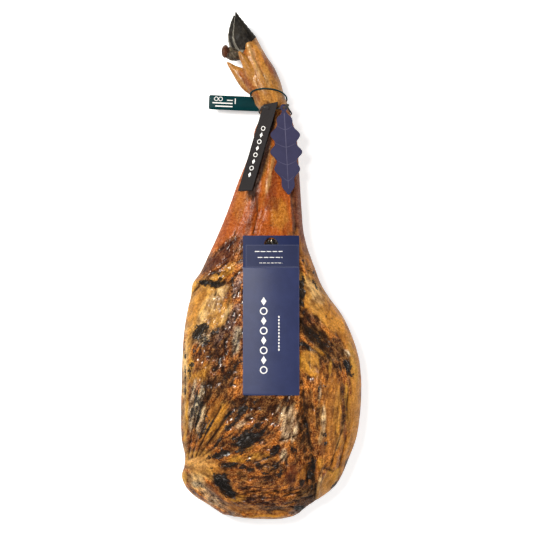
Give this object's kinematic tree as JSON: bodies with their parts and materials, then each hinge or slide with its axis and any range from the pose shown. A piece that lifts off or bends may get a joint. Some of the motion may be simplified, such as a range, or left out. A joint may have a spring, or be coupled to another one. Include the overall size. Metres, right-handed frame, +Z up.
{
  "type": "cured ham",
  "caption": "Whole cured front shoulder of pork with its hoof, a seal and tags tied at the ankle, and a card label in a sleeve.",
  "frame": {"origin": "middle of the flat spot under the meat, on the surface that it rests on", "axes": "+Y towards the hoof, +Z up through the cut side, +X to the right seen from above with the hoof at the top"},
  "size_m": [0.247, 0.6967, 0.0925],
  "materials": {
    "cured_meat": "oiled, glossy in places, with dark mould stains",
    "horn": "dark horn with a pale worn edge",
    "seal_plastic": "satin dark green",
    "string": "black twisted string",
    "black_card": "matt black card",
    "slate_card": "matt slate violet card",
    "navy_card": "satin navy card",
    "steel_pin": "plain wire"
  },
  "bodies": {
    "root": {"ham": "cured_meat", "near_claw": "horn", "far_claw": "horn", "seal": "seal_plastic", "ankle_string": "string", "strip_tag": "black_card", "leaf_tag": "slate_card", "label_card": "navy_card", "label_insert": "navy_card", "label_sleeve": "navy_card", "label_pin": "steel_pin"}
  },
  "joints": []
}
